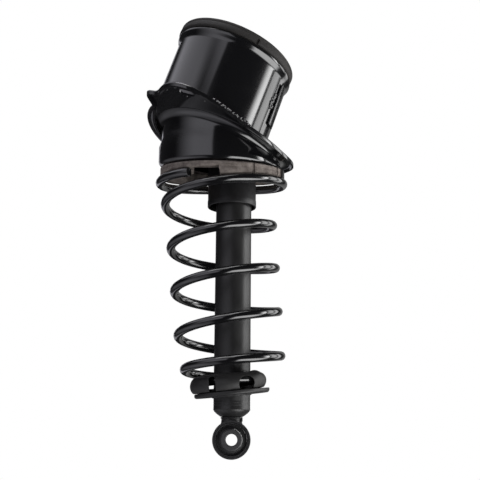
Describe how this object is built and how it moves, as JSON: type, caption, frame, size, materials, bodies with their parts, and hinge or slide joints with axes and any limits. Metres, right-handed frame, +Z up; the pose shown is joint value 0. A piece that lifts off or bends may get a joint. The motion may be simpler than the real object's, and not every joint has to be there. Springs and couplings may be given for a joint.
{
  "type": "strut assembly",
  "caption": "Suspension strut: twin-tube damper with lower eye bush, tapering coil spring on rubber pads, and a tilted pressed-steel upper housing with an oblique brim.",
  "frame": {"origin": "centre of the lower eye bore", "axes": "+Z up along the damper axis, +Y along the eye bore to the back, +X to the right as the low side of the oblique brim"},
  "size_m": [0.1843, 0.223, 0.5525],
  "materials": {
    "gloss_black": "gloss black electrocoat",
    "inner_steel_black": "gloss black electrocoat",
    "satin_black": "satin black paint",
    "seal_rubber": "matte moulded rubber",
    "chalky_rubber": "dusty grey-brown rubber",
    "black_rubber": "satin moulded rubber",
    "zinc_steel": "dull zinc",
    "bare_steel": "machined",
    "chromed_rod": "hard chrome",
    "bump_foam": "polyurethane"
  },
  "bodies": {
    "upper_housing": {"canister": "gloss_black", "rim_seal": "seal_rubber", "strap": "gloss_black", "brim_plate": "gloss_black", "lower_cup": "gloss_black", "upper_pad": "chalky_rubber", "coil_spring": "gloss_black", "mount_plate": "inner_steel_black", "mount_rubber": "black_rubber", "upper_washer": "zinc_steel", "lower_washer": "zinc_steel", "rod_nut": "zinc_steel", "piston_rod": "chromed_rod", "piston": "bare_steel", "piston_band": "bump_foam", "piston_nut": "bare_steel", "rebound_stop": "bump_foam", "bump_stop": "bump_foam", "dust_tube": "satin_black"},
    "damper_body": {"damper_tube": "satin_black", "base_cap": "satin_black", "pressure_tube": "bare_steel", "base_valve": "bare_steel", "rod_guide": "bare_steel", "rod_seal": "black_rubber", "tube_cap": "satin_black", "eye_ring": "gloss_black", "bush_shell": "zinc_steel", "bush_rubber": "black_rubber", "spring_seat": "satin_black", "lower_pad": "black_rubber"},
    "bush_core": {"bush_sleeve": "zinc_steel"},
    "intake_valve": {"intake_disc": "bare_steel"},
    "piston_valve": {"piston_valve_disc": "bare_steel"}
  },
  "joints": [
    {"name": "damper_stroke", "type": "slide", "parent": "upper_housing", "child": "damper_body", "axis": [0, 0, 1], "range_m": [0, 0.1], "stiffness_N_per_m": 25000, "deforming": ["coil_spring", "bump_stop"]},
    {"name": "bush_twist", "type": "hinge", "parent": "damper_body", "child": "bush_core", "pos_m": [0, 0, 0], "axis": [0, 1, 0], "range_deg": [-20, 20], "stiffness_Nm_per_rad": 57},
    {"name": "intake_lift", "type": "slide", "parent": "damper_body", "child": "intake_valve", "axis": [0, 0, 1], "range_m": [0, 0.0015], "stiffness_N_per_m": 400},
    {"name": "piston_valve_lift", "type": "slide", "parent": "upper_housing", "child": "piston_valve", "axis": [0, 0, -1], "range_m": [0, 0.0015], "stiffness_N_per_m": 400}
  ]
}
